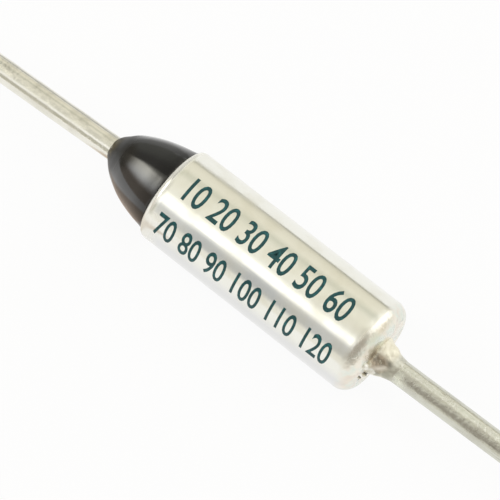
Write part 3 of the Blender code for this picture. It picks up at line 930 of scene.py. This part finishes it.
class Sky:
    """Masks and mixes over the studio's directions. Turn is the angle round the
    fuse's axis in degrees, from straight up, with the front at +90."""

    def __init__(self, tree):
        self.tree = tree
        self.way = node(tree, "ShaderNodeTexCoord").outputs["Generated"]
        parts = node(tree, "ShaderNodeSeparateXYZ", {"Vector": self.way})
        self.right = parts.outputs["X"]
        front = self.math("MULTIPLY", parts.outputs["Y"], -1.0)
        turn = self.math("ARCTAN2", front, parts.outputs["Z"])
        self.turn = self.math("MULTIPLY", turn, math.degrees(1))

    def math(self, operation, *values):
        inputs = dict(enumerate(values))
        return node(self.tree, "ShaderNodeMath", inputs, operation=operation).outputs[0]

    def step(self, value, start, end):
        """Rises from 0 at start to 1 at end, or falls where end is the lower one."""
        low, high = min(start, end), max(start, end)
        rise = node(self.tree, "ShaderNodeMapRange", {
            "Value": value, "From Min": low, "From Max": high,
            "To Min": float(start > end), "To Max": float(end > start),
        }, interpolation_type="SMOOTHSTEP")
        return rise.outputs["Result"]

    def inverse(self, mask):
        return self.math("SUBTRACT", 1.0, mask)

    def all_of(self, *masks):
        product = masks[0]
        for mask in masks[1:]:
            product = self.math("MULTIPLY", product, mask)
        return product

    def around(self, direction, outer, inner):
        """1 within the inner angle of a direction and 0 past the outer one."""
        towards = tuple(Vector(direction).normalized())
        near = node(self.tree, "ShaderNodeVectorMath", {
            0: self.way, 1: towards}, operation="DOT_PRODUCT").outputs["Value"]
        limits = [math.cos(math.radians(angle)) for angle in (outer, inner)]
        return self.step(near, *limits)

    def mix(self, mask, first, second):
        return mix_colours(self.tree, mask, first, second)

    def bands(self, turn, stops):
        """Colours round the fuse's axis, blended from each stop to the next."""
        share = self.math("MULTIPLY_ADD", turn, 1 / 360, 0.5)
        ramp_node = node(self.tree, "ShaderNodeValToRGB", {"Fac": share})
        ramp = ramp_node.color_ramp
        ramp.elements.remove(ramp.elements[-1])
        for index, (angle, colour) in enumerate(stops):
            stop = ramp.elements[0] if index == 0 else ramp.elements.new(0.999)
            stop.position = angle / 360 + 0.5
            stop.color = (*colour, 1)
        return ramp_node.outputs["Color"]


# The studio from the back, over the top and down to the front
STUDIO_BANDS = (
    (-180, (1.0, 1.0, 1.0)),
    (-91, (1.0, 1.0, 1.0)),
    (-90, (0.37, 0.36, 0.30)),
    (-87, (0.37, 0.36, 0.30)),
    (-82, (0.80, 0.77, 0.66)),
    (-58, (0.88, 0.85, 0.74)),
    (-44, (0.66, 0.66, 0.56)),
    (-32, (0.86, 0.84, 0.74)),
    (-14, (0.91, 0.89, 0.79)),
    (0, (0.96, 0.94, 0.85)),
    (13, (0.97, 0.96, 0.89)),
    (26, (1.0, 1.0, 0.97)),
    (42, (1.0, 1.0, 1.0)),
    (50, (0.92, 0.91, 0.88)),
    (88, (0.90, 0.88, 0.82)),
    (92, (1.0, 1.0, 1.0)),
)


def make_world():
    """A pale studio tent with a lit strip over the front, soft boxes at the left and
    behind at the right, and a darker room low in front. The camera sees it white."""
    world = bpy.data.worlds.new("studio")
    bpy.context.scene.world = world
    world.use_nodes = True
    tree = world.node_tree
    sky = Sky(tree)
    turn, right = sky.turn, sky.right

    # The bands' edges lean over where the bent resin shows them.
    lean = node(tree, "ShaderNodeMapRange", {
        "Value": right, "From Min": -0.255, "From Max": -0.222,
        "To Min": -9.5, "To Max": 0.0})
    leaned = sky.math("ADD", turn, lean.outputs["Result"])

    # What the can and the case's wire show
    low_room = sky.all_of(
        sky.step(leaned, 38, 47), sky.step(leaned, 75, 66),
        sky.step(right, -0.258, -0.240), sky.step(right, -0.125, -0.20))
    beside_wire = sky.all_of(sky.step(right, -0.07, -0.045), sky.step(right, 0.08, 0.055))
    off_band = sky.inverse(sky.all_of(sky.step(turn, 16, 32), sky.step(turn, 72, 60)))
    dark_room = sky.all_of(
        sky.step(right, -0.155, -0.10), sky.step(right, 0.85, 0.65),
        sky.step(turn, -16, -4), sky.step(turn, 82, 72),
        sky.inverse(sky.all_of(beside_wire, off_band)))
    off_wire = sky.inverse(sky.all_of(
        sky.step(right, -0.07, -0.05), sky.step(right, 0.08, 0.06)))
    right_box = sky.all_of(
        sky.around((0.24, 0.70, 0.67), 38, 31), sky.step(right, -0.125, -0.085),
        sky.step(right, 0.85, 0.40), off_wire)
    strip = sky.all_of(
        sky.step(turn, 14, 27), sky.step(leaned, 43, 36),
        sky.step(right, -0.09, -0.15), sky.step(right, -0.33, -0.30))

    # What the isolated wire shows
    left_wire = sky.all_of(sky.step(right, -0.43, -0.415), sky.step(right, -0.288, -0.300))
    over_line = sky.all_of(left_wire, sky.step(turn, -108, -98), sky.step(turn, -68, -78))
    over_wire = sky.all_of(left_wire, sky.step(turn, -20, 6), sky.step(turn, 42, 24))
    thin_line = sky.all_of(left_wire, sky.step(turn, 50, 58), sky.step(turn, 90, 84))
    past_line = sky.all_of(left_wire, sky.step(turn, 86, 90))

    # What the resin nose shows
    far_left = sky.step(right, -0.43, -0.50)
    left_end = sky.step(right, -0.80, -0.93)
    left_gap = sky.all_of(far_left, sky.step(turn, -6, -14))
    left_dark = sky.all_of(left_gap, sky.step(turn, -62, -30))
    left_low = sky.all_of(far_left, sky.step(turn, 38, 60))
    raised = sky.math("MULTIPLY_ADD", right, -40.0, sky.math("SUBTRACT", turn, 26.5))
    left_box = sky.all_of(
        sky.step(right, -0.50, -0.64), sky.step(right, -1.04, -0.64),
        sky.step(raised, -9, 5), sky.step(turn, 63, 17))

    colour = sky.mix(low_room, sky.bands(leaned, STUDIO_BANDS), (0.46, 0.475, 0.505))
    colour = sky.mix(dark_room, colour, (0.42, 0.39, 0.35))
    colour = sky.mix(over_line, colour, (0.80, 0.79, 0.71))
    colour = sky.mix(over_wire, colour, (0.66, 0.65, 0.58))
    colour = sky.mix(thin_line, colour, (0.50, 0.49, 0.42))
    colour = sky.mix(left_gap, colour, (0.34, 0.34, 0.31))
    colour = sky.mix(left_dark, colour, (0.21, 0.20, 0.19))
    colour = sky.mix(left_low, colour, (0.50, 0.43, 0.37))
    colour = sky.mix(left_end, colour, (0.20, 0.18, 0.15))
    colour = sky.mix(right_box, colour, (1, 1, 1))
    power = sky.math("MULTIPLY_ADD", strip, 0.5, 1.0)
    power = sky.math("MULTIPLY_ADD", past_line, 0.6, power)
    power = sky.math("MULTIPLY_ADD", right_box, 0.6, power)
    power = sky.math("MULTIPLY_ADD", left_box, 3.5, power)

    lit = tree.nodes["Background"]
    feed(tree, lit.inputs["Color"], colour)
    feed(tree, lit.inputs["Strength"], power)
    path = node(tree, "ShaderNodeLightPath")
    shown = node(tree, "ShaderNodeBackground", {"Color": (1, 1, 1, 1), "Strength": 1.0})
    choice = node(tree, "ShaderNodeMixShader", {
        0: path.outputs["Is Camera Ray"], 1: lit.outputs[0], 2: shown.outputs[0]})
    feed(tree, tree.nodes["World Output"].inputs["Surface"], choice.outputs[0])


def painted_reflection_patch(tree, mirrored, left, right, near, far, lean=0.0):
    """A painted reflection: a patch on the floor that only mirror images show, between
    soft
    limits in millimetres: each pair goes from where the patch is not to where it is full.
    Its left and right limits lean over by that share of the distance behind the fuse."""
    place = node(tree, "ShaderNodeTexCoord").outputs["Object"]
    parts = node(tree, "ShaderNodeSeparateXYZ", {"Vector": place})
    behind = parts.outputs["Y"]
    across = node(tree, "ShaderNodeMath", {
        0: behind, 1: lean, 2: parts.outputs["X"]}, operation="MULTIPLY_ADD").outputs[0]
    mask = mirrored
    limits = ((across, left), (across, right), (behind, near), (behind, far))
    for distance, (none, full) in limits:
        side = node(tree, "ShaderNodeMapRange", {
            "Value": distance, "From Min": none * MM, "From Max": full * MM})
        mask = node(tree, "ShaderNodeMath", {
            0: mask, 1: side.outputs["Result"]}, operation="MULTIPLY").outputs[0]
    return mask


def make_floor():
    """A plate that glows white for the camera, for mirror images and through clear
    pieces, and keeps a trace of the fuse's shadow."""
    deselect_all()
    bpy.ops.mesh.primitive_plane_add(size=FLOOR_SIZE, location=(0, 0, 0))
    floor = bpy.context.object
    floor.name = "floor"
    material = bpy.data.materials.new("pale_floor")
    material.use_nodes = True
    tree = material.node_tree
    shader = tree.nodes["Principled BSDF"]
    shader.inputs["Base Color"].default_value = (0.93, 0.93, 0.925, 1)
    shader.inputs["Roughness"].default_value = 0.9
    shader.inputs["Specular IOR Level"].default_value = 0.0
    path = node(tree, "ShaderNodeLightPath")
    mirrored = path.outputs["Is Glossy Ray"]
    # Painted reflections on the floor, seen only in mirror images: a dark patch behind the
    # fuse at the left and a brown patch in front at the left.
    painted_dark_reflection = painted_reflection_patch(
        tree, mirrored, (-3.6, -4.6), (-400, -300), (3.0, 9), (1400, 1200), 0.38)
    painted_brown_reflection = painted_reflection_patch(
        tree, mirrored, (-4.0, -4.4), (-8.0, -7.0), (-1.2, -1.5), (-13, -9))
    darkened = mix_colours(tree, painted_dark_reflection, (1, 1, 1), (0.44, 0.44, 0.43))
    browned = mix_colours(tree, painted_brown_reflection, darkened, (0.60, 0.50, 0.42))
    glow = node(tree, "ShaderNodeEmission", {"Color": browned, "Strength": 1.0})
    either = node(tree, "ShaderNodeMath", {
        0: path.outputs["Is Camera Ray"], 1: mirrored}, operation="ADD")
    any_ray = node(tree, "ShaderNodeMath", {
        0: either.outputs[0], 1: path.outputs["Is Transmission Ray"]}, operation="ADD")
    share = node(tree, "ShaderNodeMath", {
        0: any_ray.outputs[0], 1: FLOOR_GLOW_SHARE}, operation="MULTIPLY")
    mixed = node(tree, "ShaderNodeMixShader", {
        0: share.outputs[0], 1: shader.outputs[0], 2: glow.outputs[0]})
    feed(tree, tree.nodes["Material Output"].inputs["Surface"], mixed.outputs[0])
    floor.data.materials.append(material)


def make_camera():
    closed_end = axis_start() + Vector((CAN_LENGTH * MM, 0, 0))
    data = bpy.data.cameras.new("camera")
    data.lens = VIEW_LENS
    data.sensor_width = 36.0
    data.clip_start = 0.005
    data.clip_end = 20.0
    camera = bpy.data.objects.new("camera", data)
    bpy.context.scene.collection.objects.link(camera)
    camera.rotation_euler = (
        math.radians(90 - VIEW_ELEVATION), 0, math.radians(VIEW_AZIMUTH))
    turn = camera.rotation_euler.to_matrix()
    right, up, back = (turn.col[axis] for axis in range(3))
    camera.location = closed_end + MM * (
        back * VIEW_DISTANCE - right * VIEW_RIGHT + up * VIEW_DOWN)
    bpy.context.scene.camera = camera


# Put together

make_camera()
make_world()
make_floor()

silvered_can = silvered_can_finish()
black_resin = black_resin_finish()
isolated_tin = wire_finish(
    "tinned_wire_a", (0.86, 0.84, 0.76), (0.79, 0.77, 0.68), (0.45, 0.44, 0.36),
    dark_low=0.66, rough=0.16, uneven=0.05)
case_tin = wire_finish(
    "tinned_wire_b", (0.66, 0.66, 0.575), (0.60, 0.59, 0.515), (0.32, 0.305, 0.26),
    dark_low=0.62, rough=0.24, uneven=0.14, splash=(WELD_X + 1.15, -0.40, 0.20))
weld_metal = weld_finish()
ink = ink_finish()

can = make_can()
give(can, silvered_can)
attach(can, "root")
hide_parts("case")

resin_nose = make_resin_nose()
give(resin_nose, black_resin)
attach(resin_nose, "root")
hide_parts("epoxy_seal")

isolated_wire = make_isolated_wire()
give(isolated_wire, isolated_tin)
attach(isolated_wire, "root")
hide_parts("isolated_lead")

case_wire = make_case_wire()
give(case_wire, case_tin)
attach(case_wire, "root")
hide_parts("case_lead")

weld_lump = make_weld()
give(weld_lump, weld_metal)
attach(weld_lump, "root")
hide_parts("lead_weld")

for print_row in PRINT_ROWS:
    numbers = make_print_row(*print_row)
    give(numbers, ink)
    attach(numbers, "root")

brass = pressed_metal_finish("disc_brass", (0.78, 0.62, 0.32), (0.62, 0.47, 0.24), 0.3)
steel = pressed_metal_finish("spring_steel", (0.55, 0.55, 0.56), (0.40, 0.40, 0.41), 0.28)
silver = pressed_metal_finish("star_silver", (0.86, 0.84, 0.78), (0.70, 0.67, 0.60), 0.25)
ceramic = ceramic_finish()
pellet = pellet_finish()
INSIDE = {
    "thermal_pellet": pellet,
    "pellet_disc": brass,
    "contact_disc": brass,
    "main_spring": steel,
    "trip_spring": steel,
    "star_contact": silver,
    "ceramic_bushing": ceramic,
}
for node_name, finish in INSIDE.items():
    give(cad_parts[node_name], finish)

bpy.context.scene.view_settings.view_transform = "Standard"
